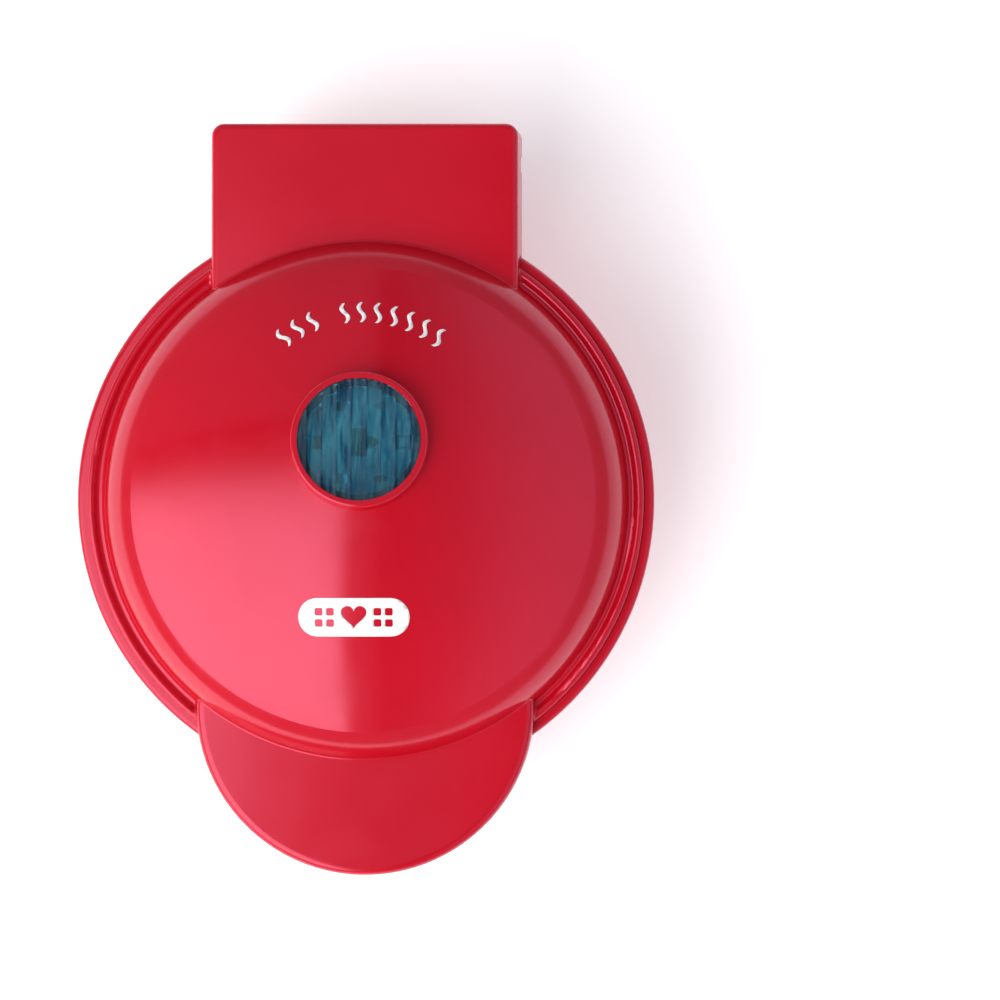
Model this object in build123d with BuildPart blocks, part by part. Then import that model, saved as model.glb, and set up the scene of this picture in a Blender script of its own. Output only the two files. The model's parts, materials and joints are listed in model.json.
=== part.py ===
"""Compact clamshell waffle maker with heart-shaped moulds.

Frame: origin on the table under the centre of the round body, +Z up, -Y towards
the handle, +Y towards the hinge. Millimetres. The lid is modelled closed.
"""

import os
from math import acos, cos, degrees, radians, sin, sqrt

from build123d import *

os.makedirs("parts", exist_ok=True)


def save(builder, name):
    """Labels a finished piece and writes it as parts/NAME.step."""
    builder.part.label = name
    export_step(builder.part, f"parts/{name}.step")


# ---------------------------------------------------------------- driving sizes
BODY_RADIUS = 63.5  # both rims: a 127 mm wide body
HALF_LENGTH = 82.3  # handle tip and hinge block are this far from the centre
WALL = 2.2
GROUND_GAP = 4.5  # underside of the base above the table
PART_Z = 39.8  # plane where lid and base meet
LID_Z = PART_Z + 0.2  # each half stops a little short of that plane
BASE_Z = PART_Z - 0.2
FIT = 0.05  # clearance between pieces that sit together

# lid dome: a shallow cap, a tight shoulder, a groove and a bead round the edge
DOME_TOP = 67.8
CAP_RADIUS = 100.0
CAP_ANGLE = 30.0
SHOULDER_RADIUS = 15.8
SHOULDER_ANGLE = 45.0
GROOVE_RADIUS = 1.1
GROOVE_ANGLE = 130.0
BEAD_RADIUS = 1.0

# bezel: the lower ring of the lid, which carries the upper plate
SEAM_Z = PART_Z + 2.3
BEZEL_TOP = PART_Z + 3.6
BEZEL_STEP = 61.25
BEZEL_RIB = 54.4
BEZEL_RIB_TOP = PART_Z + 6.0
TONGUE_Y = 72.0
TONGUE_HALF = 14.0

# hinge block and handle
BLOCK_HALF = 34.35
BLOCK_TOP_HALF = 33.3
BLOCK_TOP = PART_Z + 7.5
BLOCK_FRONT = 45.0
BLOCK_VOID_FRONT = 66.0
CORNER_RADIUS = 2.7
TAB_RADIUS = 37.2
TAB_CENTRE = TAB_RADIUS - HALF_LENGTH
TAB_BACK = -35.0
TAB_UNDERSIDE = PART_Z + 3.2
LOWER_TAB_RADIUS = 35.2
LOWER_TAB_TOP = PART_Z - 3.6
LOWER_TAB_THICKNESS = 7.0
HANDLE_SCREW = (9.0, -69.0)
RING_SCREW = (24.0, 53.4)

# hinge
PIVOT_Y = 74.0
BARREL_RADIUS = 4.6
BARREL_HALF = 30.4
EAR_INNER = 30.7
EAR_OUTER = 33.6
PIN_RADIUS = 1.8
RUNNING = 0.06
PIN_LENGTH = 14.0
TROUGH_RADIUS = 11.7
TROUGH_FRONT = PIVOT_Y - 5.2

# base
BOWL_FLOOR = 40.5
BOWL_CORNER = 12.0
BOWL_SIDE = 70.0
RIM_BOTTOM = PART_Z - 4.8
BOX_BOTTOM_HALF = 32.5
COVER_RADIUS = 30.0
COVER_THICKNESS = 1.4
COVER_SCREW_CIRCLE = 27.6
FOOT_FRONT = (25.0, -25.0)
FOOT_REAR = (25.0, 71.0)
FOOT_RADIUS = 5.0
GLAND_Z = 15.0
CORD_RADIUS = 3.3
TERMINAL_X = (-8, 0, 8)
TERMINAL_Y = 33.0
TERMINAL_Z = GROUND_GAP + WALL + FIT

# cooking plates
PLATE_RADIUS = 52.6
PLATE_OPENING = 52.9
PLATE_FACE = PART_Z + 0.3
FLANGE = 2.5
CAVITY_DEPTH = 9.0
DISH_WALL = 2.5
DISH_BACK = PLATE_FACE + CAVITY_DEPTH + DISH_WALL
DRAFT = 8
LOBE_RADIUS = 23.5
LOBE_X = 22.0
LOBE_Y = 14.0
SIDE_ANGLE = -32.3  # where a lobe runs into the side of the heart
TIP_RADIUS = 5.0
CLEFT_RADIUS = 3.5
TIP_Y = -46.0
STUD_PITCH = 14.3
STUD_SIZE = 10.4
STUD_HEIGHT = 4.6
STUD_MARGIN = 4.6
PLATE_SCREW_CIRCLE = 47.0
PLATE_SCREW_ANGLES = (75.0, 105.0, -35.0, -145.0)
PLATE_BOSS_TOP = PART_Z + 4.2

# heating elements and what sits on the backs of the plates
ELEMENT_CIRCLE = 27.0
ELEMENT_TUBE = 2.6
ELEMENT_START = 118.0
ELEMENT_ARC = 304.0
PIN_ARC = 14.0
PIN_WIRE = 1.1
CLAMP_ANGLES = (0.0, -60.0, -120.0, 180.0)
POST_CIRCLE = 20.0
POST_ANGLES = (30.0, 150.0, 270.0)
POST_TOP = DISH_BACK + 6.6
SHIELD = 0.8
THERMOSTAT_Y = -3.0

# indicator window, square to the dome's surface
LENS_Y = 12.5
LENS_RADIUS = 12.9
BOSS_HEIGHT = 2.2
LENS_TILT = 7.2
LENS_CROWN = 1.6
RIB_PITCH = 3.1
RIB_CURVE = 2.3

MEETING = Plane.XY.offset(PART_Z)
LENS_PLANE = Plane(
    origin=(0, LENS_Y, DOME_TOP - CAP_RADIUS + sqrt(CAP_RADIUS**2 - LENS_Y**2)),
    x_dir=(1, 0, 0),
    z_dir=(0, sin(radians(LENS_TILT)), cos(radians(LENS_TILT))),
)
UP = (Align.CENTER, Align.CENTER, Align.MIN)
DOWN = (Align.CENTER, Align.CENTER, Align.MAX)
ACROSS = (0, 90, 0)


def polar(radius, angle):
    """A point on a circle about the body's axis, as (x, y)."""
    return radius * cos(radians(angle)), radius * sin(radians(angle))


def both_sides(point):
    """The same place left and right of the centre line."""
    return (-point[0], *point[1:]), tuple(point)


PLATE_SCREWS = [polar(PLATE_SCREW_CIRCLE, angle) for angle in PLATE_SCREW_ANGLES]
POSTS = [polar(POST_CIRCLE, angle) for angle in POST_ANGLES]
COVER_SCREWS = [polar(COVER_SCREW_CIRCLE, angle) for angle in (30, 150, 270)]

# =============================================================== lid: outer shell
# Solid outer form first: dome with its groove and bead, hinge block and handle.
with BuildPart() as lid_block:
    with BuildSketch(Plane.XZ.offset(-HALF_LENGTH)):
        with BuildLine():
            Polyline(
                (-BLOCK_HALF, LID_Z),
                (BLOCK_HALF, LID_Z),
                (BLOCK_TOP_HALF, BLOCK_TOP),
                (-BLOCK_TOP_HALF, BLOCK_TOP),
                close=True,
            )
        make_face()
    extrude(amount=HALF_LENGTH - BLOCK_FRONT + 3)
    rear_face = lid_block.faces().sort_by(Axis.Y)[-1]
    fillet(rear_face.edges().filter_by(lambda e: abs(e.tangent_at(0.5).Z) > 0.9), CORNER_RADIUS)
    top_face = lid_block.faces().sort_by(Axis.Z)[-1]
    fillet(top_face.edges().sort_by(Axis.Y)[1:], 1.4)

with BuildSketch() as handle_outline:
    with BuildLine():
        tab_left = Line((-TAB_RADIUS, TAB_BACK), (-TAB_RADIUS, TAB_CENTRE))
        tab_front = ThreePointArc(tab_left @ 1, (0, -HALF_LENGTH), (TAB_RADIUS, TAB_CENTRE))
        tab_right = Line(tab_front @ 1, (TAB_RADIUS, TAB_BACK))
        Line(tab_right @ 1, tab_left @ 0)
    make_face()

with BuildPart() as lid_handle:
    with BuildSketch(Plane.XY.offset(TAB_UNDERSIDE)):
        add(handle_outline.sketch)
    extrude(amount=BLOCK_TOP - TAB_UNDERSIDE, taper=5)
    top_face = lid_handle.faces().sort_by(Axis.Z)[-1]
    fillet(top_face.edges().sort_by(Axis.Y)[:-1], 2.0)

with BuildPart() as lid_shell:
    with BuildSketch(Plane.XZ):
        with BuildLine():
            cap = JernArc((0, DOME_TOP), (1, 0), CAP_RADIUS, -CAP_ANGLE)
            shoulder = JernArc(cap @ 1, cap % 1, SHOULDER_RADIUS, -SHOULDER_ANGLE)
            groove = JernArc(shoulder @ 1, shoulder % 1, GROOVE_RADIUS, GROOVE_ANGLE)
            bead = JernArc(groove @ 1, groove % 1, BEAD_RADIUS, -GROOVE_ANGLE - 15)
            edge = Line(bead @ 1, ((bead @ 1).X, SEAM_Z))
            Polyline(edge @ 1, (0, SEAM_Z), (0, DOME_TOP))
        make_face()
    revolve(axis=Axis.Z)
    add(lid_block.part)
    add(lid_handle.part)
    # soft inside corners where the tops of block and handle run into the dome
    top_joints = lid_shell.edges().filter_by(
        lambda e: e.geom_type == GeomType.CIRCLE
        and abs((e @ 0.5).Z - BLOCK_TOP) < 0.01
        and abs((e @ 0.5).X) < 1
        and abs((e @ 0.5).Y) < 58
    )
    fillet(top_joints, 0.6)
    # raised ring round the window
    with BuildSketch(LENS_PLANE.offset(-3)):
        Circle(LENS_RADIUS + 2.0)
    extrude(amount=BOSS_HEIGHT + 3, taper=6)
    boss_top = lid_shell.faces().sort_by(Axis.Z)[-1]
    fillet(boss_top.edges(), 0.6)
    # hollow dome
    with BuildSketch(Plane.XZ):
        with BuildLine():
            cap = JernArc((0, DOME_TOP - WALL), (1, 0), CAP_RADIUS - WALL, -CAP_ANGLE)
            shoulder = JernArc(cap @ 1, cap % 1, SHOULDER_RADIUS - WALL, -SHOULDER_ANGLE)
            edge = Line(shoulder @ 1, ((shoulder @ 1).X, LID_Z - 1))
            Polyline(edge @ 1, (0, LID_Z - 1), (0, DOME_TOP - WALL))
        make_face()
    revolve(axis=Axis.Z, mode=Mode.SUBTRACT)
    # seat for the bezel
    with BuildSketch(Plane.XZ):
        with BuildLine():
            Polyline(
                (0, LID_Z - 1),
                (BODY_RADIUS + 0.1, LID_Z - 1),
                (BODY_RADIUS + 0.1, BEZEL_TOP + FIT),
                (BEZEL_STEP - 0.05, BEZEL_TOP + FIT),
                (BEZEL_STEP - 0.05, SEAM_Z),
                (0, SEAM_Z),
                close=True,
            )
        make_face()
    revolve(axis=Axis.Z, mode=Mode.SUBTRACT)
    # hollow hinge block, wire passage, and a hollow handle with ribs and screw bosses
    with Locations((0, (BLOCK_VOID_FRONT + HALF_LENGTH - WALL) / 2, BLOCK_TOP - WALL)):
        Box(
            2 * EAR_INNER,
            HALF_LENGTH - WALL - BLOCK_VOID_FRONT,
            20,
            align=DOWN,
            mode=Mode.SUBTRACT,
        )
    with Locations((0, 60, SEAM_Z)):
        Box(10, 20, BLOCK_TOP - WALL - SEAM_Z, align=UP, mode=Mode.SUBTRACT)
    with BuildSketch(Plane.XY.offset(TAB_UNDERSIDE)):
        add(handle_outline.sketch)
        offset(amount=-WALL, mode=Mode.REPLACE)
        Circle(BODY_RADIUS + 1.5, mode=Mode.SUBTRACT)
        with GridLocations(12.0, 1, 5, 1):
            Rectangle(1.4, 2 * HALF_LENGTH, mode=Mode.SUBTRACT)
        with Locations(*both_sides(HANDLE_SCREW)):
            Circle(3.2, mode=Mode.SUBTRACT)
    extrude(amount=BLOCK_TOP - WALL - TAB_UNDERSIDE, mode=Mode.SUBTRACT)
    # hinge ears
    with Locations((-EAR_INNER, PIVOT_Y, PART_Z), (EAR_OUTER, PIVOT_Y, PART_Z)):
        Cylinder(BARREL_RADIUS, EAR_OUTER - EAR_INNER, rotation=ACROSS, align=DOWN)
    with Locations((0, PIVOT_Y, PART_Z)):
        Cylinder(PIN_RADIUS + RUNNING, 80, rotation=ACROSS, mode=Mode.SUBTRACT)
    # window: a well for the lens on a narrow ledge
    with Locations(LENS_PLANE):
        Cylinder(LENS_RADIUS + 0.1, 10, align=UP, mode=Mode.SUBTRACT)
        Cylinder(LENS_RADIUS - 1.3, 20, mode=Mode.SUBTRACT)
    # screw holes
    with Locations(*[(x, y, TAB_UNDERSIDE) for x, y in both_sides(HANDLE_SCREW)]):
        Cylinder(1.3, 3.0, align=UP, mode=Mode.SUBTRACT)
    with Locations(*[(x, y, SEAM_Z) for x, y in both_sides(RING_SCREW)]):
        Cylinder(1.3, 4.0, align=UP, mode=Mode.SUBTRACT)
save(lid_shell, "lid_shell")

# ==================================================== lid: bezel under the shell
with BuildPart() as lid_bezel:
    with BuildSketch(Plane.XZ):
        with BuildLine():
            Polyline(
                (PLATE_OPENING, LID_Z),
                (BODY_RADIUS, LID_Z),
                (BODY_RADIUS, BEZEL_TOP),
                (BEZEL_STEP, BEZEL_TOP),
                (BEZEL_STEP, SEAM_Z - FIT),
                (BEZEL_RIB, SEAM_Z - FIT),
                (BEZEL_RIB, BEZEL_RIB_TOP),
                (PLATE_OPENING, BEZEL_RIB_TOP),
                close=True,
            )
        make_face()
    revolve(axis=Axis.Z)
    circles = lid_bezel.edges().filter_by(GeomType.CIRCLE)
    outer_edges = circles.filter_by(lambda e: abs(e.radius - BODY_RADIUS) < 0.01)
    fillet(outer_edges.sort_by(Axis.Z)[-1], 1.3)
    fillet(outer_edges.sort_by(Axis.Z)[0], 0.5)
    # lugs that the upper plate is screwed to
    for angle in PLATE_SCREW_ANGLES:
        with BuildSketch(Plane.XY.offset(PLATE_BOSS_TOP + FIT)):
            with Locations(Rot(0, 0, angle)):
                with Locations((PLATE_SCREW_CIRCLE, 0)):
                    Circle(4.0)
                with Locations((PLATE_SCREW_CIRCLE + 3.5, 0)):
                    Rectangle(7, 8)
        extrude(amount=BEZEL_RIB_TOP - PLATE_BOSS_TOP - FIT)
    # tongue that closes the middle of the handle
    with BuildSketch(Plane.XY.offset(TAB_UNDERSIDE - FIT)):
        with Locations((0, -TONGUE_Y)):
            Rectangle(2 * TONGUE_HALF, TONGUE_Y - BODY_RADIUS + 1.7, align=(Align.CENTER, Align.MIN))
    extrude(amount=-1.6)
    with BuildSketch(Plane.XY.offset(SEAM_Z - FIT)):
        with Locations((0, 58)):
            Rectangle(10, 13)
    extrude(amount=10, mode=Mode.SUBTRACT)
    # screw holes
    with Locations(*[(x, y, 0) for x, y in PLATE_SCREWS]):
        Cylinder(1.6, 120, mode=Mode.SUBTRACT)
    with Locations(*[(x, y, TAB_UNDERSIDE - 1.65) for x, y in both_sides(HANDLE_SCREW)]):
        Cone(3.1, 1.5, 1.6, align=UP, mode=Mode.SUBTRACT)
    with Locations(*[(x, y, 0) for x, y in both_sides(RING_SCREW)]):
        Cylinder(1.6, 120, mode=Mode.SUBTRACT)
    with Locations(*[(x, y, LID_Z - 1) for x, y in both_sides(RING_SCREW)]):
        Cylinder(2.9, 2.1, align=UP, mode=Mode.SUBTRACT)
save(lid_bezel, "lid_bezel")

# ============================================================== cooking plates
def heart_outline(margin):
    """The mould's heart as a sketch, grown by margin all round."""
    radius = LOBE_RADIUS + margin
    cleft_angle = degrees(acos(-LOBE_X / radius))
    with BuildSketch() as outline:
        with BuildLine():
            lobe = CenterArc((-LOBE_X, LOBE_Y), radius, 180 - cleft_angle, cleft_angle - SIDE_ANGLE)
            TangentArc(lobe @ 1, (0, TIP_Y - 1.3 * margin), tangent=lobe % 1)
            mirror(about=Plane.YZ)
        make_face()
        fillet(outline.vertices().sort_by(Axis.Y)[0], TIP_RADIUS + margin)
        cleft_corner = outline.vertices().filter_by(lambda v: abs(v.X) < 0.01 and v.Y > 0)
        fillet(cleft_corner, CLEFT_RADIUS - margin)
    return outline.sketch


# the grid of studs, trimmed to the heart; slivers at its edge are dropped
heart = heart_outline(0)
heart_back = heart_outline(DISH_WALL)
stud_limit = offset(heart.face(), amount=-STUD_MARGIN)
with BuildSketch() as stud_grid:
    with GridLocations(STUD_PITCH, STUD_PITCH, 6, 6):
        RectangleRounded(STUD_SIZE, STUD_SIZE, 1.8)
    add(stud_limit, mode=Mode.INTERSECT)
studs = stud_grid.faces().filter_by(lambda f: f.area > 25)

with BuildPart() as upper_plate:
    with BuildSketch(Plane.XY.offset(PLATE_FACE)):
        Circle(PLATE_RADIUS)
    extrude(amount=FLANGE)
    with BuildSketch(Plane.XY.offset(PLATE_FACE)):
        add(heart_back)
    extrude(amount=CAVITY_DEPTH + DISH_WALL, taper=DRAFT)
    fillet(upper_plate.faces().sort_by(Axis.Z)[-1].edges(), 2.0)
    with BuildSketch(Plane.XY.offset(PLATE_FACE)):
        add(heart)
    extrude(amount=CAVITY_DEPTH, taper=DRAFT, mode=Mode.SUBTRACT)
    with BuildSketch(Plane.XY.offset(PLATE_FACE + CAVITY_DEPTH)):
        add(studs)
    extrude(amount=-STUD_HEIGHT, taper=DRAFT)
    # bosses for the plate's own screws and posts for the heat shield
    with BuildSketch(Plane.XY.offset(PLATE_FACE + FLANGE)):
        with Locations(*PLATE_SCREWS):
            Circle(3.2)
    extrude(amount=PLATE_BOSS_TOP - PLATE_FACE - FLANGE)
    with BuildSketch(Plane.XY.offset(DISH_BACK - 1)):
        with Locations(*POSTS):
            Circle(2.5)
    extrude(amount=POST_TOP - DISH_BACK + 1)
    with Locations(*[(x, y, PLATE_FACE + 1.0) for x, y in PLATE_SCREWS]):
        Cylinder(1.25, 10, align=UP, mode=Mode.SUBTRACT)
    with Locations(*[(x, y, POST_TOP) for x, y in POSTS]):
        Cylinder(1.05, 5, align=DOWN, mode=Mode.SUBTRACT)
save(upper_plate, "upper_plate")

# the lower plate is the same casting turned over
with BuildPart() as lower_plate:
    mirror(upper_plate.part, about=MEETING)
save(lower_plate, "lower_plate")

# ================================================= heating elements and shields
ELEMENT_Z = DISH_BACK + ELEMENT_TUBE + FIT
with BuildPart() as upper_heating_element:
    with BuildLine(Plane.XY.offset(ELEMENT_Z)) as tube_path:
        CenterArc((0, 0), ELEMENT_CIRCLE, ELEMENT_START, ELEMENT_ARC)
    with BuildSketch(Plane(tube_path.line @ 0, z_dir=tube_path.line % 0)):
        Circle(ELEMENT_TUBE)
    sweep(path=tube_path.line)
    with BuildLine(Plane.XY.offset(ELEMENT_Z)) as pin_path:
        CenterArc((0, 0), ELEMENT_CIRCLE, ELEMENT_START - PIN_ARC, ELEMENT_ARC + 2 * PIN_ARC)
    with BuildSketch(Plane(pin_path.line @ 0, z_dir=pin_path.line % 0)):
        Circle(PIN_WIRE)
    sweep(path=pin_path.line)
save(upper_heating_element, "upper_heating_element")

with BuildPart() as upper_element_clamps:
    for angle in CLAMP_ANGLES:
        clamp_face = Plane(
            origin=(*polar(ELEMENT_CIRCLE, angle), ELEMENT_Z),
            x_dir=(cos(radians(angle)), sin(radians(angle)), 0),
            z_dir=(sin(radians(angle)), -cos(radians(angle)), 0),
        )
        with BuildSketch(clamp_face.offset(-3)):
            Circle(ELEMENT_TUBE + 1.0)
            with Locations((0, -ELEMENT_TUBE + 0.5)):
                Rectangle(2 * ELEMENT_TUBE + 9, 1.0)
            Circle(ELEMENT_TUBE + 0.25, mode=Mode.SUBTRACT)
            with Locations((0, -ELEMENT_TUBE)):
                Rectangle(2 * ELEMENT_TUBE + 0.5, 4, mode=Mode.SUBTRACT)
                Rectangle(20, 8, align=(Align.CENTER, Align.MAX), mode=Mode.SUBTRACT)
        extrude(amount=6)
save(upper_element_clamps, "upper_element_clamps")

with BuildPart() as upper_heat_shield:
    with BuildSketch(Plane.XY.offset(POST_TOP + FIT)):
        Circle(33)
        with Locations(*POSTS):
            Circle(1.3, mode=Mode.SUBTRACT)
        with Locations((0, 34)):
            Rectangle(30, 20, mode=Mode.SUBTRACT)
    extrude(amount=SHIELD)
    fillet(upper_heat_shield.edges().filter_by(Axis.Z).sort_by(Axis.Y)[-4:], 1.5)
save(upper_heat_shield, "upper_heat_shield")

with BuildPart() as upper_shield_screws:
    with Locations(*[(x, y, POST_TOP + FIT + SHIELD + FIT) for x, y in POSTS]):
        Cylinder(2.1, 1.1, align=UP)
        Cylinder(1.0, 5.0, align=DOWN)
save(upper_shield_screws, "upper_shield_screws")

with BuildPart() as upper_plate_screws:
    with Locations(*[(x, y, BEZEL_RIB_TOP + FIT) for x, y in PLATE_SCREWS]):
        Cylinder(3.0, 1.8, align=UP)
        Cylinder(1.2, 4.6, align=DOWN)
save(upper_plate_screws, "upper_plate_screws")

with BuildPart() as upper_thermal_fuse:
    with Locations((0, 0, DISH_BACK + 2.0 + FIT)):
        Cylinder(2.0, 11, rotation=ACROSS)
        Cylinder(0.5, 19, rotation=ACROSS)
save(upper_thermal_fuse, "upper_thermal_fuse")

with BuildPart() as upper_fuse_strap:
    with BuildSketch(Plane.YZ.offset(-2)):
        with Locations((0, DISH_BACK + FIT)):
            with Locations((0, 2.0)):
                Circle(2.9)
            Rectangle(14, 0.9, align=(Align.CENTER, Align.MIN))
            with Locations((0, 2.0)):
                Circle(2.0 + FIT, mode=Mode.SUBTRACT)
            Rectangle(2 * (2.0 + FIT), 2.0, align=(Align.CENTER, Align.MIN), mode=Mode.SUBTRACT)
            Rectangle(14, 8, align=(Align.CENTER, Align.MAX), mode=Mode.SUBTRACT)
    extrude(amount=4)
save(upper_fuse_strap, "upper_fuse_strap")

# sleeved leads: from each element pin towards the hinge, and one to the fuse
with BuildPart() as upper_leads:
    for hand in (-1, 1):
        pin_x, pin_y = polar(ELEMENT_CIRCLE, 90 - hand * (ELEMENT_START - PIN_ARC - 90))
        with BuildLine() as lead_path:
            Spline(
                (pin_x, pin_y + 2.4, ELEMENT_Z),
                (hand * 4.5, 40, ELEMENT_Z - 2.0),
                (hand * 2.2, 53, SEAM_Z + 1.6),
                (hand * 2.2, 65, SEAM_Z + 1.6),
                tangents=((0, 1, 0), (0, 1, 0)),
            )
        with BuildSketch(Plane(lead_path.line @ 0, z_dir=lead_path.line % 0)):
            Circle(1.1)
        sweep(path=lead_path.line)
save(upper_leads, "upper_leads")

# ================================================ lid: window, lamp and screws
with BuildPart(LENS_PLANE) as lens:
    with Locations((0, 0, LENS_CROWN - RIB_CURVE)):
        with GridLocations(RIB_PITCH, 1, 9, 1):
            Cylinder(RIB_CURVE, 3 * LENS_RADIUS, rotation=(90, 0, 0))
    with Locations((0, 0, FIT)):
        Cylinder(LENS_RADIUS, 2 * LENS_CROWN, align=UP, mode=Mode.INTERSECT)
    with Locations((0, 0, 0.4)):
        Cylinder(LENS_RADIUS - 1.4, 2.8, align=DOWN)
save(lens, "lens")

with BuildPart(LENS_PLANE) as lens_holder:
    with Locations((0, 0, -3.5)):
        Cylinder(15, 1.4, align=DOWN)
    with Locations((0, 0, -4.8)):
        Cylinder(4.4, 2.2, align=DOWN)
    with Locations((0, 0, -3.5)):
        Cylinder(3.1, 10, mode=Mode.SUBTRACT)
    with Locations((0, 0, -3.5)):
        with PolarLocations(9, 6):
            Cylinder(1.6, 10, mode=Mode.SUBTRACT)
save(lens_holder, "lens_holder")

with BuildPart(LENS_PLANE) as indicator_lamp:
    with Locations((0, 0, -7.2)):
        Cylinder(3.0, 2.2, align=UP)
    with Locations((0, 0, -5.0)):
        Sphere(2.2)
save(indicator_lamp, "indicator_lamp")

with BuildPart() as lid_screws:
    with Locations(*[(x, y, LID_Z + 1.05) for x, y in both_sides(RING_SCREW)]):
        Cylinder(2.6, 0.95, align=DOWN)
        Cylinder(1.2, 4.5, align=UP)
    with Locations(*[(x, y, TAB_UNDERSIDE - 1.6) for x, y in both_sides(HANDLE_SCREW)]):
        Cone(2.9, 1.3, 1.5, align=UP)
        Cylinder(1.2, 4.2, align=UP)
    with Locations(*[(x, y, LID_Z + 0.1) for x, y in both_sides(RING_SCREW)]):
        Box(3.4, 0.8, 1.0, mode=Mode.SUBTRACT)
        Box(0.8, 3.4, 1.0, mode=Mode.SUBTRACT)
    with Locations(*[(x, y, TAB_UNDERSIDE - 1.6) for x, y in both_sides(HANDLE_SCREW)]):
        Box(3.6, 0.8, 1.4, mode=Mode.SUBTRACT)
        Box(0.8, 3.6, 1.4, mode=Mode.SUBTRACT)
save(lid_screws, "lid_screws")

# ================================================================ base: housing
with BuildPart() as bowl:
    with BuildSketch(Plane.XZ):
        with BuildLine():
            corner = JernArc((BOWL_FLOOR, GROUND_GAP), (1, 0), BOWL_CORNER, 60)
            flank = JernArc(corner @ 1, corner % 1, BOWL_SIDE, 21.4)
            Polyline(
                flank @ 1,
                (BODY_RADIUS, (flank @ 1).Y),
                (BODY_RADIUS, BASE_Z),
                (0, BASE_Z),
                (0, GROUND_GAP),
                (BOWL_FLOOR, GROUND_GAP),
            )
        make_face()
    revolve(axis=Axis.Z)
    rim_edges = bowl.edges().filter_by(GeomType.CIRCLE)
    rim_edges = rim_edges.filter_by(lambda e: abs(e.radius - BODY_RADIUS) < 0.01)
    fillet(rim_edges.sort_by(Axis.Z)[-1], 0.5)
    fillet(rim_edges.sort_by(Axis.Z)[0], 1.3)

with BuildPart() as hinge_box:
    with BuildSketch(Plane.XZ.offset(-HALF_LENGTH)):
        with BuildLine():
            Polyline(
                (-BOX_BOTTOM_HALF, GROUND_GAP),
                (BOX_BOTTOM_HALF, GROUND_GAP),
                (BLOCK_HALF, BASE_Z),
                (-BLOCK_HALF, BASE_Z),
                close=True,
            )
        make_face()
    extrude(amount=HALF_LENGTH - 30)
    rear_face = hinge_box.faces().sort_by(Axis.Y)[-1]
    fillet(rear_face.edges().filter_by(lambda e: abs(e.tangent_at(0.5).Z) > 0.9), CORNER_RADIUS)
    bottom_face = hinge_box.faces().sort_by(Axis.Z)[0]
    fillet(bottom_face.edges().sort_by(Axis.Y)[1:], 1.5)

# everything that is hollow behind the bowl, clear of the hinge trough's own wall
with BuildPart() as box_void:
    with BuildSketch(Plane.XZ.offset(-HALF_LENGTH + WALL)):
        with BuildLine():
            Polyline(
                (-BOX_BOTTOM_HALF + WALL, GROUND_GAP + WALL),
                (BOX_BOTTOM_HALF - WALL, GROUND_GAP + WALL),
                (BLOCK_HALF - WALL, BASE_Z - WALL),
                (-BLOCK_HALF + WALL, BASE_Z - WALL),
                close=True,
            )
        make_face()
    extrude(amount=HALF_LENGTH - 40)
    add(bowl.part, mode=Mode.SUBTRACT)
    with BuildSketch(Plane.YZ.offset(-50)):
        with Locations((PIVOT_Y, PART_Z)):
            Circle(TROUGH_RADIUS + WALL)
        with Locations((TROUGH_FRONT - WALL, PART_Z)):
            Rectangle(40, 80, align=(Align.MAX, Align.CENTER), mode=Mode.SUBTRACT)
    extrude(amount=100, mode=Mode.SUBTRACT)

# lower half of the handle
with BuildPart() as lower_tab:
    with BuildSketch(Plane.XY.offset(LOWER_TAB_TOP)):
        with BuildLine():
            tab_left = Line((-LOWER_TAB_RADIUS, TAB_BACK), (-LOWER_TAB_RADIUS, TAB_CENTRE))
            tab_tip = (0, TAB_CENTRE - LOWER_TAB_RADIUS)
            tab_front = ThreePointArc(tab_left @ 1, tab_tip, (LOWER_TAB_RADIUS, TAB_CENTRE))
            tab_right = Line(tab_front @ 1, (LOWER_TAB_RADIUS, TAB_BACK))
            Line(tab_right @ 1, tab_left @ 0)
        make_face()
    extrude(amount=-LOWER_TAB_THICKNESS, taper=6)
    top_face = lower_tab.faces().sort_by(Axis.Z)[-1]
    fillet(top_face.edges().sort_by(Axis.Y)[:-1], 1.6)
    bottom_face = lower_tab.faces().sort_by(Axis.Z)[0]
    fillet(bottom_face.edges().sort_by(Axis.Y)[:-1], 2.2)

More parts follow.
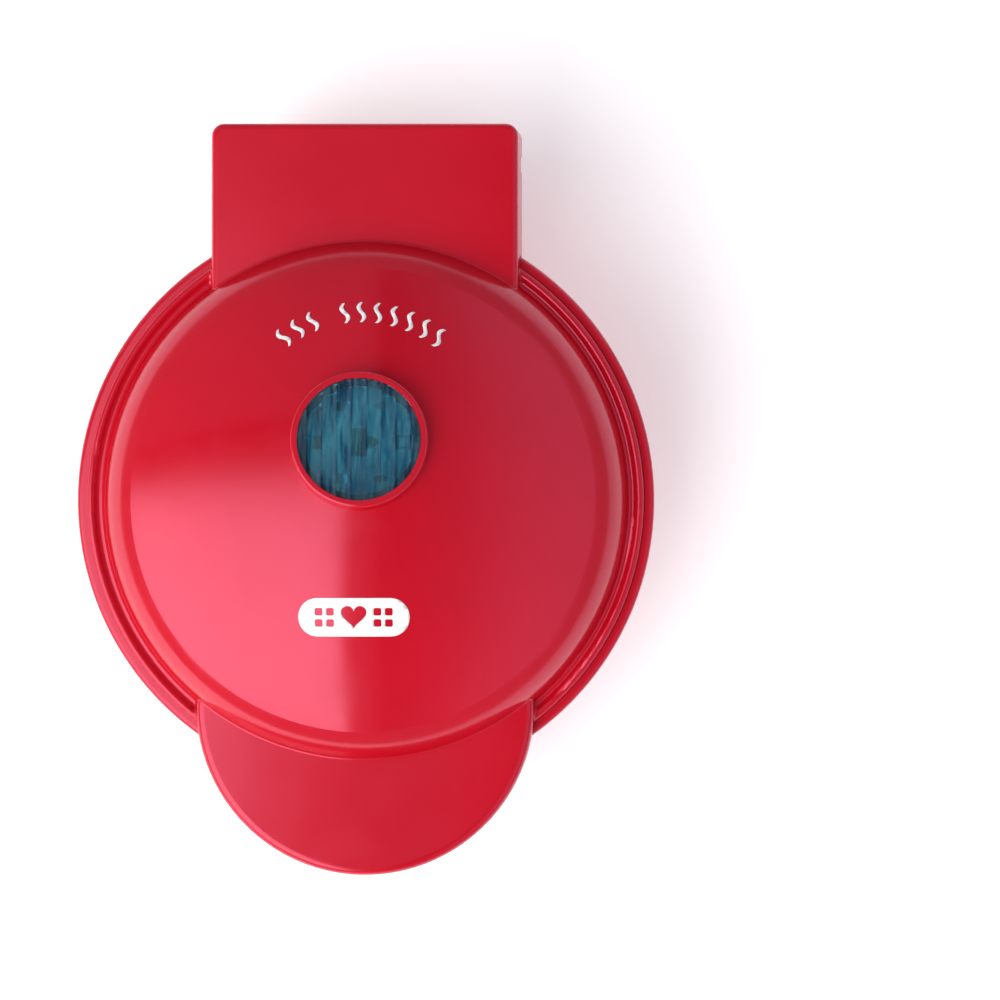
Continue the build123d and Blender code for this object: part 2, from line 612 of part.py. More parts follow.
with BuildPart() as base_housing:
    add(bowl.part)
    add(hinge_box.part)
    add(lower_tab.part)
    # hollow bowl with a rim for the plate
    with BuildSketch(Plane.XZ):
        with BuildLine():
            corner = JernArc((BOWL_FLOOR, GROUND_GAP + WALL), (1, 0), BOWL_CORNER - WALL, 60)
            flank = JernArc(corner @ 1, corner % 1, BOWL_SIDE - WALL, 21.4)
            Polyline(
                flank @ 1,
                ((flank @ 1).X, BASE_Z - WALL),
                (PLATE_OPENING, BASE_Z - WALL),
                (PLATE_OPENING, BASE_Z + 1),
                (0, BASE_Z + 1),
                (0, GROUND_GAP + WALL),
                (BOWL_FLOOR, GROUND_GAP + WALL),
            )
        make_face()
    revolve(axis=Axis.Z, mode=Mode.SUBTRACT)
    add(box_void.part, mode=Mode.SUBTRACT)
    # trough the lid's block swings through, then the hinge barrel on its web
    with BuildSketch(Plane.YZ.offset(-50)):
        with Locations((PIVOT_Y, PART_Z)):
            Circle(TROUGH_RADIUS)
        with Locations((TROUGH_FRONT, PART_Z)):
            Rectangle(40, 80, align=(Align.MAX, Align.CENTER), mode=Mode.SUBTRACT)
    extrude(amount=100, mode=Mode.SUBTRACT)
    with Locations((0, PIVOT_Y, PART_Z)):
        Cylinder(BARREL_RADIUS, 2 * BARREL_HALF, rotation=ACROSS)
    with Locations((0, TROUGH_FRONT - 1, PART_Z - 0.4)):
        Box(2 * BARREL_HALF, PIVOT_Y - TROUGH_FRONT + 1, 4.1, align=(Align.CENTER, Align.MIN, Align.MAX))
    with Locations((0, PIVOT_Y, PART_Z)):
        Cylinder(PIN_RADIUS + 0.02, 80, rotation=ACROSS, mode=Mode.SUBTRACT)
    # lugs under the plate's edge
    for angle in PLATE_SCREW_ANGLES:
        with BuildSketch(Plane.XY.offset(2 * PART_Z - PLATE_BOSS_TOP - FIT)):
            with Locations(Rot(0, 0, angle)):
                with Locations((PLATE_SCREW_CIRCLE, 0)):
                    Circle(4.0)
                with Locations((PLATE_SCREW_CIRCLE + 5.5, 0)):
                    Rectangle(11, 8)
        extrude(amount=-1.75)
    with Locations(*[(x, y, 30) for x, y in PLATE_SCREWS]):
        Cylinder(1.6, 20, mode=Mode.SUBTRACT)
    # passage for the wires, cord hole, and openings in the floor
    with Locations((0, 55, 8)):
        Box(24, 20, 11, align=UP, mode=Mode.SUBTRACT)
    with Locations((0, HALF_LENGTH, GLAND_Z)):
        Cylinder(5.1, 12, rotation=(90, 0, 0), mode=Mode.SUBTRACT)
    with BuildSketch(Plane.XY.offset(GROUND_GAP + WALL)):
        with Locations(*COVER_SCREWS):
            Circle(3.0)
    extrude(amount=4)
    with BuildSketch(Plane.XY.offset(GROUND_GAP)):
        Circle(COVER_RADIUS + 0.15)
    extrude(amount=COVER_THICKNESS + FIT, mode=Mode.SUBTRACT)
    with BuildSketch(Plane.XY.offset(GROUND_GAP)):
        Circle(COVER_RADIUS - 5)
        with Locations(*COVER_SCREWS):
            Circle(3.4, mode=Mode.SUBTRACT)
    extrude(amount=WALL + 1, mode=Mode.SUBTRACT)
    with Locations(*[(x, y, GROUND_GAP) for x, y in COVER_SCREWS]):
        Cylinder(1.25, 6.2, align=UP, mode=Mode.SUBTRACT)
    # sockets for the feet
    with Locations(*[(x, y, GROUND_GAP) for x, y in both_sides(FOOT_FRONT) + both_sides(FOOT_REAR)]):
        Cylinder(2.05, 4, mode=Mode.SUBTRACT, align=(Align.CENTER, Align.CENTER, Align.CENTER))
save(base_housing, "base_housing")

with BuildPart() as bottom_cover:
    with BuildSketch(Plane.XY.offset(GROUND_GAP)):
        Circle(COVER_RADIUS)
        with GridLocations(6.0, 1, 6, 1):
            SlotOverall(26, 2.4, rotation=90, mode=Mode.SUBTRACT)
        with Locations(*COVER_SCREWS):
            Circle(1.5, mode=Mode.SUBTRACT)
    extrude(amount=COVER_THICKNESS)
save(bottom_cover, "bottom_cover")

with BuildPart() as bottom_cover_screws:
    with Locations(*[(x, y, GROUND_GAP - FIT) for x, y in COVER_SCREWS]):
        Cylinder(2.5, 1.5, align=DOWN)
        Cylinder(1.2, 6.0, align=UP)
    with Locations(*[(x, y, GROUND_GAP - 1.6) for x, y in COVER_SCREWS]):
        Box(3.2, 0.8, 1.6, mode=Mode.SUBTRACT)
        Box(0.8, 3.2, 1.6, mode=Mode.SUBTRACT)
save(bottom_cover_screws, "bottom_cover_screws")

# rubber feet, each with a stud pressed into the housing
for name, (x, y) in (
    ("foot_front_left", both_sides(FOOT_FRONT)[0]),
    ("foot_front_right", both_sides(FOOT_FRONT)[1]),
    ("foot_rear_left", both_sides(FOOT_REAR)[0]),
    ("foot_rear_right", both_sides(FOOT_REAR)[1]),
):
    with BuildPart() as foot:
        with Locations((x, y, 0)):
            Cylinder(FOOT_RADIUS, GROUND_GAP - FIT, align=UP)
        fillet(foot.edges().sort_by(Axis.Z)[0], 0.8)
        with Locations((x, y, GROUND_GAP - 0.5)):
            Cylinder(2.0, 2.3, align=UP)
    save(foot, name)

# ============================================================== hinge and cord
for name, start in (("hinge_pin_left", -EAR_OUTER + 0.2), ("hinge_pin_right", EAR_OUTER - 0.2)):
    with BuildPart() as hinge_pin:
        with Locations((start, PIVOT_Y, PART_Z)):
            Cylinder(PIN_RADIUS, PIN_LENGTH, rotation=ACROSS, align=UP if start < 0 else DOWN)
        chamfer(hinge_pin.edges().filter_by(GeomType.CIRCLE), 0.3)
    save(hinge_pin, name)

with BuildPart() as cord_gland:
    with BuildSketch(Plane.XZ.offset(-HALF_LENGTH)):
        with Locations((0, GLAND_Z)):
            Circle(5.0)
    extrude(amount=10)
    with BuildSketch(Plane.XZ.offset(-HALF_LENGTH + WALL + FIT)):
        with Locations((0, GLAND_Z)):
            Circle(6.6)
    extrude(amount=1.6)
    with Locations((0, HALF_LENGTH, GLAND_Z)):
        Cylinder(CORD_RADIUS, 40, rotation=(90, 0, 0), mode=Mode.SUBTRACT)
    fillet(cord_gland.edges().filter_by(GeomType.CIRCLE).sort_by(Axis.Y)[-1], 0.5)
save(cord_gland, "cord_gland")

with BuildPart() as cord_clamp:
    with BuildSketch(Plane.XZ.offset(-64)):
        with Locations((0, GROUND_GAP + WALL + FIT)):
            Rectangle(22, 8.3, align=(Align.CENTER, Align.MIN))
        with Locations((0, GLAND_Z)):
            Circle(5.6)
            Circle(CORD_RADIUS, mode=Mode.SUBTRACT)
    extrude(amount=6)
    fillet(cord_clamp.edges().filter_by(Axis.Y).sort_by(Axis.X)[0], 1.5)
    fillet(cord_clamp.edges().filter_by(Axis.Y).sort_by(Axis.X)[-1], 1.5)
save(cord_clamp, "cord_clamp")

with BuildPart() as terminal_block:
    with BuildSketch(Plane.XY.offset(TERMINAL_Z)):
        with Locations((0, TERMINAL_Y)):
            RectangleRounded(24, 11, 1.5)
    extrude(amount=8)
    with Locations(*[(x, TERMINAL_Y, TERMINAL_Z + 8) for x in TERMINAL_X]):
        Cylinder(2.4, 5, mode=Mode.SUBTRACT)
    with Locations(*[(x, TERMINAL_Y, TERMINAL_Z + 3) for x in TERMINAL_X]):
        Cylinder(1.4, 20, rotation=(90, 0, 0), mode=Mode.SUBTRACT)
save(terminal_block, "terminal_block")

with BuildPart() as terminal_screws:
    with Locations(*[(x, TERMINAL_Y, TERMINAL_Z + 5.6) for x in TERMINAL_X]):
        Cylinder(2.2, 1.6, align=UP)
    with Locations(*[(x, TERMINAL_Y, TERMINAL_Z + 7.2) for x in TERMINAL_X]):
        Box(3.6, 0.7, 1.0, mode=Mode.SUBTRACT)
save(terminal_screws, "terminal_screws")

# =============================================== base: plate, element and controls
LOWER_BACK = 2 * PART_Z - DISH_BACK
LOWER_POST = 2 * PART_Z - POST_TOP

with BuildPart() as lower_plate_screws:
    mirror(upper_plate_screws.part, about=MEETING)
save(lower_plate_screws, "lower_plate_screws")

with BuildPart() as lower_heating_element:
    mirror(upper_heating_element.part, about=MEETING)
save(lower_heating_element, "lower_heating_element")

with BuildPart() as lower_element_clamps:
    mirror(upper_element_clamps.part, about=MEETING)
save(lower_element_clamps, "lower_element_clamps")

with BuildPart() as lower_heat_shield:
    with BuildSketch(Plane.XY.offset(LOWER_POST - FIT)):
        Circle(41)
        with Locations(*POSTS):
            Circle(1.3, mode=Mode.SUBTRACT)
        with Locations((0, 38)):
            Rectangle(34, 40, mode=Mode.SUBTRACT)
        with Locations((0, THERMOSTAT_Y)):
            RectangleRounded(30, 19, 3, mode=Mode.SUBTRACT)
    extrude(amount=-SHIELD)
save(lower_heat_shield, "lower_heat_shield")

with BuildPart() as lower_shield_screws:
    mirror(upper_shield_screws.part, about=MEETING)
save(lower_shield_screws, "lower_shield_screws")

with BuildPart() as thermostat:
    with Locations((0, THERMOSTAT_Y, LOWER_BACK - FIT)):
        Cylinder(8.0, 1.6, align=DOWN)
        Cylinder(7.0, 5.4, align=DOWN)
    with Locations((-4, THERMOSTAT_Y, LOWER_BACK - 5), (4, THERMOSTAT_Y, LOWER_BACK - 5)):
        Box(0.8, 5, 6.5, align=DOWN)
save(thermostat, "thermostat")

with BuildPart() as thermostat_bracket:
    with BuildSketch(Plane.XY.offset(LOWER_BACK - 1.6 - 2 * FIT)):
        with Locations((0, THERMOSTAT_Y)):
            SlotOverall(27, 7)
            Circle(9.0)
            Circle(7.0 + FIT, mode=Mode.SUBTRACT)
        with Locations((-11, THERMOSTAT_Y), (11, THERMOSTAT_Y)):
            Circle(1.2, mode=Mode.SUBTRACT)
    extrude(amount=-0.9)
save(thermostat_bracket, "thermostat_bracket")

with BuildPart() as lower_leads:
    for hand in (-1, 1):
        pin_x, pin_y = polar(ELEMENT_CIRCLE, 90 - hand * (ELEMENT_START - PIN_ARC - 90))
        with BuildLine() as lead_path:
            Spline(
                (pin_x, pin_y - 0.2, 2 * PART_Z - ELEMENT_Z - 2.4),
                (hand * 7.5, 21.5, 15.5),
                (hand * 8, TERMINAL_Y - 5.7, TERMINAL_Z + 3),
                tangents=((0, 0, -1), (0, 1, -0.1)),
            )
        with BuildSketch(Plane(lead_path.line @ 0, z_dir=lead_path.line % 0)):
            Circle(1.1)
        sweep(path=lead_path.line)
save(lower_leads, "lower_leads")
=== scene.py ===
"""Looks of the compact waffle maker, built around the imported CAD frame. Metres."""

import json
import math

import bmesh
import bpy
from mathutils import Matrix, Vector
from mathutils.bvhtree import BVHTree


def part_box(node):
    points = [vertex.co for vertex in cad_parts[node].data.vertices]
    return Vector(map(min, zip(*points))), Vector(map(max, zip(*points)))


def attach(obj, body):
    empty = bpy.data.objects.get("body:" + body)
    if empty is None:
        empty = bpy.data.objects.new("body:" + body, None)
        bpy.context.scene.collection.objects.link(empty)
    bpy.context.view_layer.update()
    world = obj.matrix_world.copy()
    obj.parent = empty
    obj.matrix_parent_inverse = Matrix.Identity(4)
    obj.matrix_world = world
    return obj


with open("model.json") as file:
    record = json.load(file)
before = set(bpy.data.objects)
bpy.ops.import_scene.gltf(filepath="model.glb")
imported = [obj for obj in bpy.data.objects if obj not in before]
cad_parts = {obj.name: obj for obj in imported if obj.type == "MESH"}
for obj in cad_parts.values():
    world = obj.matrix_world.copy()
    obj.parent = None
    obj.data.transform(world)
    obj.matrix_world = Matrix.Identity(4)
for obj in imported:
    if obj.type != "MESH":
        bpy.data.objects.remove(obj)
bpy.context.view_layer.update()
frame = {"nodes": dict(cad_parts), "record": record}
nodes = frame["nodes"]
MM = 0.001


# ------------------------------------------------------------------ materials
def link(tree, source, target):
    """Joins two sockets of one node tree."""
    tree.links.new(source, target)


def noise(tree, scale, detail=3.0, stretch=(1.0, 1.0, 1.0), distortion=0.0):
    """A noise texture in object space, as its value socket. Scale is per metre."""
    coords = tree.nodes.new("ShaderNodeTexCoord")
    mapping = tree.nodes.new("ShaderNodeMapping")
    mapping.inputs["Scale"].default_value = stretch
    texture = tree.nodes.new("ShaderNodeTexNoise")
    texture.inputs["Scale"].default_value = scale
    texture.inputs["Detail"].default_value = detail
    texture.inputs["Distortion"].default_value = distortion
    link(tree, coords.outputs["Object"], mapping.inputs["Vector"])
    link(tree, mapping.outputs["Vector"], texture.inputs["Vector"])
    return texture.outputs["Fac"]


def spread(tree, value, low, high, start=0.3, end=0.7):
    """A value socket remapped so that start..end becomes low..high."""
    remap = tree.nodes.new("ShaderNodeMapRange")
    remap.inputs["From Min"].default_value = start
    remap.inputs["From Max"].default_value = end
    remap.inputs["To Min"].default_value = low
    remap.inputs["To Max"].default_value = high
    link(tree, value, remap.inputs["Value"])
    return remap.outputs["Result"]


def blend_colours(tree, factor, first, second):
    """A colour socket between two colours, or two colour sockets."""
    mix = tree.nodes.new("ShaderNodeMix")
    mix.data_type = "RGBA"
    link(tree, factor, mix.inputs["Factor"])
    for name, colour in (("A", first), ("B", second)):
        socket = [s for s in mix.inputs if s.name == name and s.type == "RGBA"][0]
        if isinstance(colour, bpy.types.NodeSocket):
            link(tree, colour, socket)
        else:
            socket.default_value = (*colour, 1.0)
    return [s for s in mix.outputs if s.type == "RGBA"][0]


def add_bump(tree, shader, layers):
    """Bump from (value socket, depth in metres) layers, finest last."""
    below = None
    for value, depth in layers:
        bump = tree.nodes.new("ShaderNodeBump")
        bump.inputs["Strength"].default_value = 1.0
        bump.inputs["Distance"].default_value = depth
        link(tree, value, bump.inputs["Height"])
        if below:
            link(tree, below, bump.inputs["Normal"])
        below = bump.outputs["Normal"]
    link(tree, below, shader.inputs["Normal"])


SMUDGES_PER_PATCH = 2.7


def material(
    name, colour, shade, rough, metallic=0.0, patch=60.0, grain=1500.0, depth=4e-6, **extra
):
    """A procedural surface: colour drifts between two shades in patches, roughness follows
    smudges, and a fine grain is a shallow bump. rough is (mean, half span), patch and grain
    are noise scales per metre, depth is in metres, and extra sets shader sockets."""
    made = bpy.data.materials.new(name)
    made.use_nodes = True
    tree = made.node_tree
    shader = tree.nodes["Principled BSDF"]
    shader.inputs["Metallic"].default_value = metallic
    for socket, value in extra.items():
        shader.inputs[socket.replace("_", " ")].default_value = value
    patches = noise(tree, patch, detail=4.0)
    fine = noise(tree, grain, detail=2.0)
    tint = blend_colours(tree, spread(tree, patches, 0.0, 1.0), colour, shade)
    link(tree, tint, shader.inputs["Base Color"])
    smudges = noise(tree, patch * SMUDGES_PER_PATCH, detail=5.0, distortion=0.6)
    mean, span = rough
    link(tree, spread(tree, smudges, mean - span, mean + span), shader.inputs["Roughness"])
    add_bump(tree, shader, [(fine, depth)])
    return made


def moulded_red():
    """Glossy red plastic with pigment drift, faint smudges and the slight ripple of a moulding.
    Its reflections are tinted towards pink."""
    return material(
        "glossy_red_plastic",
        (0.57, 0.004, 0.015),
        (0.51, 0.003, 0.012),
        rough=(0.16, 0.035),
        patch=30.0,
        grain=900.0,
        depth=1.2e-6,
        IOR=1.5,
        Specular_IOR_Level=1.0,
        Specular_Tint=(1.0, 0.36, 0.55, 1.0),
    )


MATERIALS = {
    "red_plastic": moulded_red(),
    "nonstick": material(
        "nonstick_coating",
        (0.028, 0.028, 0.031),
        (0.045, 0.044, 0.046),
        rough=(0.38, 0.08),
        metallic=0.25,
        patch=220.0,
        grain=2600.0,
        depth=14e-6,
        Specular_IOR_Level=0.6,
    ),
    "steel": material(
        "zinc_plated_steel",
        (0.62, 0.63, 0.64),
        (0.5, 0.5, 0.5),
        rough=(0.3, 0.08),
        metallic=1.0,
        patch=300.0,
    ),
    "element": material(
        "element_sheath",
        (0.2, 0.19, 0.18),
        (0.32, 0.29, 0.26),
        rough=(0.5, 0.1),
        metallic=0.9,
        patch=120.0,
    ),
    "galvanised": material(
        "galvanised_sheet",
        (0.66, 0.68, 0.7),
        (0.52, 0.54, 0.57),
        rough=(0.34, 0.1),
        metallic=1.0,
        patch=160.0,
    ),
    "white_plastic": material(
        "white_nylon", (0.8, 0.79, 0.75), (0.72, 0.71, 0.67), rough=(0.5, 0.06)
    ),
    "fuse": material(
        "fuse_case", (0.7, 0.69, 0.66), (0.6, 0.58, 0.55), rough=(0.22, 0.05), metallic=1.0
    ),
    "thermostat": material(
        "phenolic_brown", (0.05, 0.03, 0.022), (0.08, 0.045, 0.03), rough=(0.4, 0.08)
    ),
    "ceramic": material(
        "steatite_ceramic", (0.82, 0.8, 0.74), (0.75, 0.72, 0.66), rough=(0.6, 0.08)
    ),
    "brass": material(
        "terminal_brass",
        (0.72, 0.5, 0.2),
        (0.6, 0.4, 0.16),
        rough=(0.3, 0.08),
        metallic=1.0,
        patch=260.0,
    ),
    "rubber": material(
        "foot_rubber",
        (0.018, 0.018, 0.019),
        (0.032, 0.031, 0.03),
        rough=(0.78, 0.08),
        patch=200.0,
        grain=2200.0,
        depth=2e-5,
    ),
    "black_plastic": material(
        "black_textured_plastic",
        (0.02, 0.02, 0.021),
        (0.03, 0.03, 0.031),
        rough=(0.5, 0.06),
        patch=90.0,
        grain=1400.0,
        depth=2.5e-5,
    ),
}


def tinted_lens_with_painted_highlights():
    """Clear plastic tinted blue, with streaks along its flutes. The bright cyan streaks in its
    colour are painted reflection highlights on the flutes; the dark navy is the lens's own tint.
    """
    made = bpy.data.materials.new("tinted_lens_with_painted_highlights")
    made.use_nodes = True
    tree = made.node_tree
    shader = tree.nodes["Principled BSDF"]
    shader.inputs["Transmission Weight"].default_value = 0.92
    shader.inputs["IOR"].default_value = 1.49
    flutes_and_painted_highlights = noise(tree, 900.0, detail=4.0, stretch=(1.0, 0.12, 0.3), distortion=0.4)
    painted_highlight_streaks = spread(tree, flutes_and_painted_highlights, 0.0, 1.0, 0.38, 0.62)
    # painted highlight: the streak mask blends the navy tint towards bright cyan where reflections
    # on the flutes would be
    tint = blend_colours(tree, painted_highlight_streaks, (0.01, 0.22, 0.40), (0.25, 0.80, 0.95))
    link(tree, tint, shader.inputs["Base Color"])
    link(tree, spread(tree, flutes_and_painted_highlights, 0.04, 0.14), shader.inputs["Roughness"])
    add_bump(tree, shader, [(flutes_and_painted_highlights, 2.5e-5)])
    return made


def lamp_glass():
    """Thin clear glass with the orange cast of a neon lamp's fill."""
    made = material("neon_lamp_glass", (1.0, 0.72, 0.55), (1.0, 0.82, 0.68), rough=(0.08, 0.03))
    made.node_tree.nodes["Principled BSDF"].inputs["Transmission Weight"].default_value = 0.8
    return made


def braided_sleeve():
    """Woven glass-fibre sleeving: two crossed sets of fine strands."""
    made = bpy.data.materials.new("glass_fibre_sleeve")
    made.use_nodes = True
    tree = made.node_tree
    shader = tree.nodes["Principled BSDF"]
    coords = tree.nodes.new("ShaderNodeTexCoord")
    heights = []
    for turn in (0.7, -0.7):
        mapping = tree.nodes.new("ShaderNodeMapping")
        mapping.inputs["Rotation"].default_value = (turn, turn, turn)
        wave = tree.nodes.new("ShaderNodeTexWave")
        wave.inputs["Scale"].default_value = 700.0
        link(tree, coords.outputs["Object"], mapping.inputs["Vector"])
        link(tree, mapping.outputs["Vector"], wave.inputs["Vector"])
        heights.append(wave.outputs["Fac"])
    tint = blend_colours(tree, heights[0], (0.62, 0.58, 0.48), (0.86, 0.83, 0.74))
    link(tree, tint, shader.inputs["Base Color"])
    link(tree, spread(tree, heights[1], 0.6, 0.85, 0.0, 1.0), shader.inputs["Roughness"])
    add_bump(tree, shader, [(heights[0], 6e-5), (heights[1], 6e-5)])
    return made


MATERIALS["lens"] = tinted_lens_with_painted_highlights()
MATERIALS["lamp"] = lamp_glass()
MATERIALS["sleeve"] = braided_sleeve()

for part in frame["record"]["subparts"]:
    target = nodes[part["node"]]
    for slot_number in range(len(target.material_slots)):
        target.material_slots[slot_number].material = MATERIALS[part["material_slot"]]

PRINT = material(
    "white_print",
    (0.92, 0.90, 0.89),
    (0.86, 0.84, 0.83),
    rough=(0.42, 0.05),
    patch=400.0,
    grain=3000.0,
    depth=6e-6,
)


# ------------------------------------------------------- printed marks on the lid
bpy.context.view_layer.update()
LID_SURFACE = BVHTree.FromObject(nodes["lid_shell"], bpy.context.evaluated_depsgraph_get())
PRINT_LIFT = 0.07 * MM
PRINT_THICKNESS = 0.05 * MM
PRINT_STEP = 1.1 * MM  # largest facet of a print, so that it bends with the dome
ABOVE_LID = 0.2


def on_lid(x, y):
    """The point just above the lid's outer surface over (x, y)."""
    spot, normal, _, _ = LID_SURFACE.ray_cast(Vector((x, y, ABOVE_LID)), Vector((0, 0, -1)))
    return spot + normal * PRINT_LIFT


def lay_on_lid(name, mesh):
    """Turns flat faces in XY into a thin print that follows the lid, and fixes it to the lid."""
    shape = bmesh.new()
    shape.from_mesh(mesh)
    for axis in (0, 1):
        low = min(vertex.co[axis] for vertex in shape.verts)
        high = max(vertex.co[axis] for vertex in shape.verts)
        across = Vector((1 - axis, axis, 0))
        for line in range(1, int((high - low) / PRINT_STEP) + 1):
            bmesh.ops.bisect_plane(
                shape,
                geom=shape.verts[:] + shape.edges[:] + shape.faces[:],
                plane_co=across * (low + line * PRINT_STEP),
                plane_no=across,
            )
    bmesh.ops.triangulate(shape, faces=shape.faces)
    for vertex in shape.verts:
        vertex.co = on_lid(vertex.co.x, vertex.co.y)
    bmesh.ops.recalc_face_normals(shape, faces=shape.faces)
    for face in shape.faces:
        face.smooth = True
        if face.normal.z < 0:
            face.normal_flip()
    laid = bpy.data.meshes.new(name)
    shape.to_mesh(laid)
    shape.free()
    piece = bpy.data.objects.new(name, laid)
    bpy.context.collection.objects.link(piece)
    piece.data.materials.append(PRINT)
    skin = piece.modifiers.new("ink", "SOLIDIFY")
    skin.thickness = PRINT_THICKNESS
    skin.offset = 1.0
    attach(piece, "lid")
    return piece


def outline_mesh(loops):
    """A flat mesh filled between closed outlines; inner ones are holes."""
    curve = bpy.data.curves.new("outline", "CURVE")
    curve.dimensions = "2D"
    curve.fill_mode = "BOTH"
    for loop in loops:
        spline = curve.splines.new("POLY")
        spline.points.add(len(loop) - 1)
        for point, (x, y) in zip(spline.points, loop):
            point.co = (x, y, 0, 1)
        spline.use_cyclic_u = True
    holder = bpy.data.objects.new("outline", curve)
    bpy.context.collection.objects.link(holder)
    bpy.context.view_layer.update()
    evaluated = holder.evaluated_get(bpy.context.evaluated_depsgraph_get())
    mesh = bpy.data.meshes.new_from_object(evaluated)
    bpy.data.objects.remove(holder)
    bpy.data.curves.remove(curve)
    return mesh


def steam_stroke(length, width, swing, steps=18):
    """The outline of one wavy stroke standing on the origin, along +Y."""
    left, right = [], []
    for i in range(steps + 1):
        t = i / steps
        bend = swing * math.sin(2 * math.pi * t)
        taper = width * (0.55 + 0.45 * math.sin(math.pi * t)) / 2
        left.append((bend - taper, t * length))
        right.append((bend + taper, t * length))
    return left + right[::-1]


lens_low, lens_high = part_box("lens")
LENS_CENTRE = Vector(((lens_low[0] + lens_high[0]) / 2, (lens_low[1] + lens_high[1]) / 2))
ARC_RADIUS = 25.2 * MM
ARC_HALF = 37.0  # degrees
STROKES = 11
GAP_AT = 3
STROKE_SIZE = (4.4 * MM, 1.0 * MM, 0.62 * MM)  # length, width, sideways swing


def arc_of_strokes():
    """A row of wavy strokes round the window, with one gap, as a plain heat mark."""
    loops = []
    for i in range(STROKES):
        if i == GAP_AT:
            continue
        angle = math.radians(90 + ARC_HALF - 2 * ARC_HALF * i / (STROKES - 1))
        turn = angle - math.pi / 2
        base = LENS_CENTRE + ARC_RADIUS * Vector((math.cos(angle), math.sin(angle)))
        loop = []
        for x, y in steam_stroke(*STROKE_SIZE):
            loop.append(
                (
                    base.x + x * math.cos(turn) - y * math.sin(turn),
                    base.y + x * math.sin(turn) + y * math.cos(turn),
                )
            )
        loops.append(loop)
    return loops


def rounded_bar(cx, cy, width, height, radius, steps=8):
    """The outline of a rectangle with round corners."""
    loop = []
    for sx, sy, start in ((1, 1, 0), (-1, 1, 90), (-1, -1, 180), (1, -1, 270)):
        for i in range(steps + 1):
            angle = math.radians(start + 90 * i / steps)
            x = cx + sx * (width / 2 - radius) + radius * math.cos(angle)
            y = cy + sy * (height / 2 - radius) + radius * math.sin(angle)
            loop.append((x, y))
    return loop


def heart_loop(cx, cy, size, steps=48):
    """The outline of a small plain heart."""
    loop = []
    for i in range(steps):
        t = 2 * math.pi * i / steps
        x = 16 * math.sin(t) ** 3
        y = 13 * math.cos(t) - 5 * math.cos(2 * t) - 2 * math.cos(3 * t) - math.cos(4 * t)
        loop.append((cx + x * size / 32, cy + (y + 2.5) * size / 32))
    return loop


BADGE_CENTRE = (-1.3 * MM, -24.7 * MM)
BADGE_SIZE = (23.5 * MM, 8.2 * MM)
BADGE_CORNER = 4.0 * MM
HEART_SIZE = 5.4 * MM
SQUARE_SIZE = 1.6 * MM
SQUARE_CORNER = 0.35 * MM
SQUARE_COLUMNS = (5.0 * MM, 7.4 * MM)
SQUARE_ROWS = (-1.2 * MM, 1.2 * MM)


def badge_loops():
    """A pill with a heart in the middle and a row of waffle squares on each side."""
    cx, cy = BADGE_CENTRE
    loops = [rounded_bar(cx, cy, *BADGE_SIZE, BADGE_CORNER)]
    loops.append(heart_loop(cx, cy, HEART_SIZE))
    for side in (-1, 1):
        for column in SQUARE_COLUMNS:
            for row in SQUARE_ROWS:
                x, y = cx + side * column, cy + row
                loops.append(rounded_bar(x, y, SQUARE_SIZE, SQUARE_SIZE, SQUARE_CORNER, 3))
    return loops


lay_on_lid("print_heat_arc", outline_mesh(arc_of_strokes()))
lay_on_lid("print_badge", outline_mesh(badge_loops()))


# ----------------------------------------------------------------- floor and light
FLOOR_SIZE = 6.0
FLOOR_DROP = 0.0002  # keeps the floor clear of the feet
FLOOR_GLOW = 0.35


def floor():
    """A wide pale floor, lit a little from within so that shadows stay soft."""
    bpy.ops.mesh.primitive_plane_add(size=FLOOR_SIZE, location=(0, 0, -FLOOR_DROP))
    ground = bpy.context.object
    ground.name = "studio_floor"
    made = bpy.data.materials.new("studio_floor")
    made.use_nodes = True
    shader = made.node_tree.nodes["Principled BSDF"]
    shader.inputs["Base Color"].default_value = (0.93, 0.93, 0.93, 1)
    shader.inputs["Roughness"].default_value = 0.9
    shader.inputs["Specular IOR Level"].default_value = 0.1
    shader.inputs["Emission Color"].default_value = (1, 1, 1, 1)
    shader.inputs["Emission Strength"].default_value = FLOOR_GLOW
    ground.data.materials.append(made)


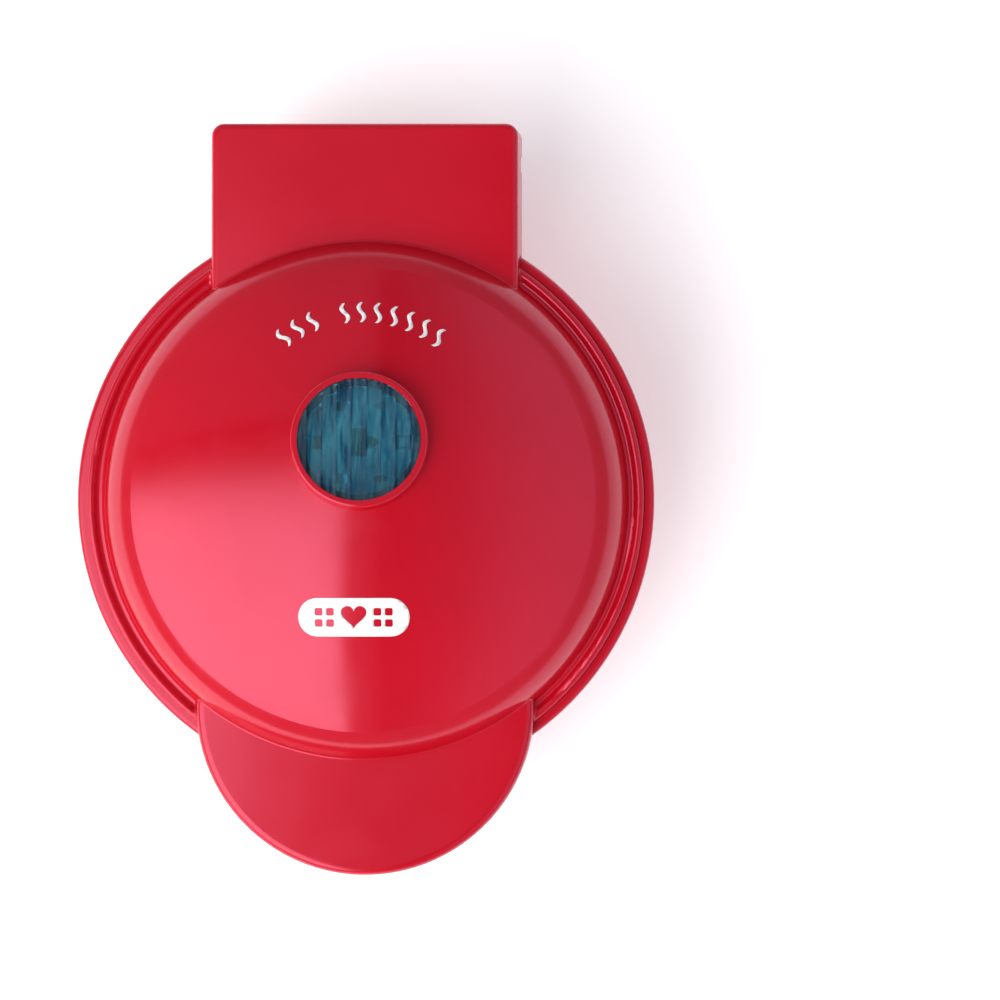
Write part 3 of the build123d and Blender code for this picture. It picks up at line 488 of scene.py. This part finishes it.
def softbox(name, corners, ramp, colour=(1, 1, 1)):
    """A glowing quad that only lights and reflects. ramp gives its strength from the first
    edge (corners 0-1) to the opposite one, as (place, strength) stops."""
    panel = bpy.data.meshes.new(name)
    panel.from_pydata(corners, [], [(0, 1, 2, 3)])
    layer = panel.uv_layers.new(name="along")
    for loop, uv in zip(layer.data, ((0, 0), (0, 1), (1, 1), (1, 0))):
        loop.uv = uv
    holder = bpy.data.objects.new(name, panel)
    bpy.context.collection.objects.link(holder)
    glow = bpy.data.materials.new(name)
    glow.use_nodes = True
    tree = glow.node_tree
    tree.nodes.clear()
    coords = tree.nodes.new("ShaderNodeTexCoord")
    split = tree.nodes.new("ShaderNodeSeparateXYZ")
    link(tree, coords.outputs["UV"], split.inputs["Vector"])
    fade = tree.nodes.new("ShaderNodeFloatCurve")
    top = max(strength for _, strength in ramp)
    points = fade.mapping.curves[0].points
    for point, (place, strength) in zip(points, (ramp[0], ramp[-1])):
        point.location = (place, strength / top)
    for place, strength in ramp[1:-1]:
        points.new(place, strength / top)
    fade.mapping.update()
    link(tree, split.outputs["X"], fade.inputs["Value"])
    scaled = tree.nodes.new("ShaderNodeMath")
    scaled.operation = "MULTIPLY"
    scaled.inputs[1].default_value = top
    link(tree, fade.outputs["Value"], scaled.inputs[0])
    emit = tree.nodes.new("ShaderNodeEmission")
    emit.inputs["Color"].default_value = (*colour, 1)
    link(tree, scaled.outputs["Value"], emit.inputs["Strength"])
    surface = tree.nodes.new("ShaderNodeOutputMaterial")
    link(tree, emit.outputs["Emission"], surface.inputs["Surface"])
    panel.materials.append(glow)
    holder.visible_camera = False
    holder.visible_shadow = False


floor()
LIGHT_Z = 1.0
softbox(
    "key_left",
    [(-0.10, 0.42, LIGHT_Z), (-2.6, 0.42, LIGHT_Z), (-2.6, -2.2, LIGHT_Z), (-0.27, -2.2, LIGHT_Z)],
    [(0.0, 0.0), (0.07, 0.5), (0.16, 2.8), (0.26, 3.9), (1.0, 3.9)],
)
softbox(
    "fill_right",
    [(0.02, 2.0, LIGHT_Z), (0.02, -2.0, LIGHT_Z), (2.4, -2.0, LIGHT_Z), (2.4, 2.0, LIGHT_Z)],
    [(0.0, 0.1), (0.15, 0.35), (0.5, 0.9), (1.0, 0.8)],
    (0.93, 0.86, 1.0),
)

WORLD_COLOUR = (0.94, 0.95, 1.0, 1)
WORLD_STRENGTH = 0.42
world = bpy.data.worlds.new("studio")
bpy.context.scene.world = world
world.use_nodes = True
background = world.node_tree.nodes["Background"]
background.inputs["Color"].default_value = WORLD_COLOUR
background.inputs["Strength"].default_value = WORLD_STRENGTH

# ------------------------------------------------------------------------- camera
bpy.context.scene.view_settings.view_transform = "Standard"
lens = bpy.data.cameras.new("camera")
camera = bpy.data.objects.new("camera", lens)
bpy.context.collection.objects.link(camera)
CAMERA_PLACE = (0.0295, 0.0, 0.561)  # straight above, a little to the right
FOCAL_LENGTH = 84.8
camera.location = CAMERA_PLACE
camera.rotation_euler = (0, 0, 0)
lens.sensor_width = 36.0
lens.lens = FOCAL_LENGTH
bpy.context.scene.camera = camera
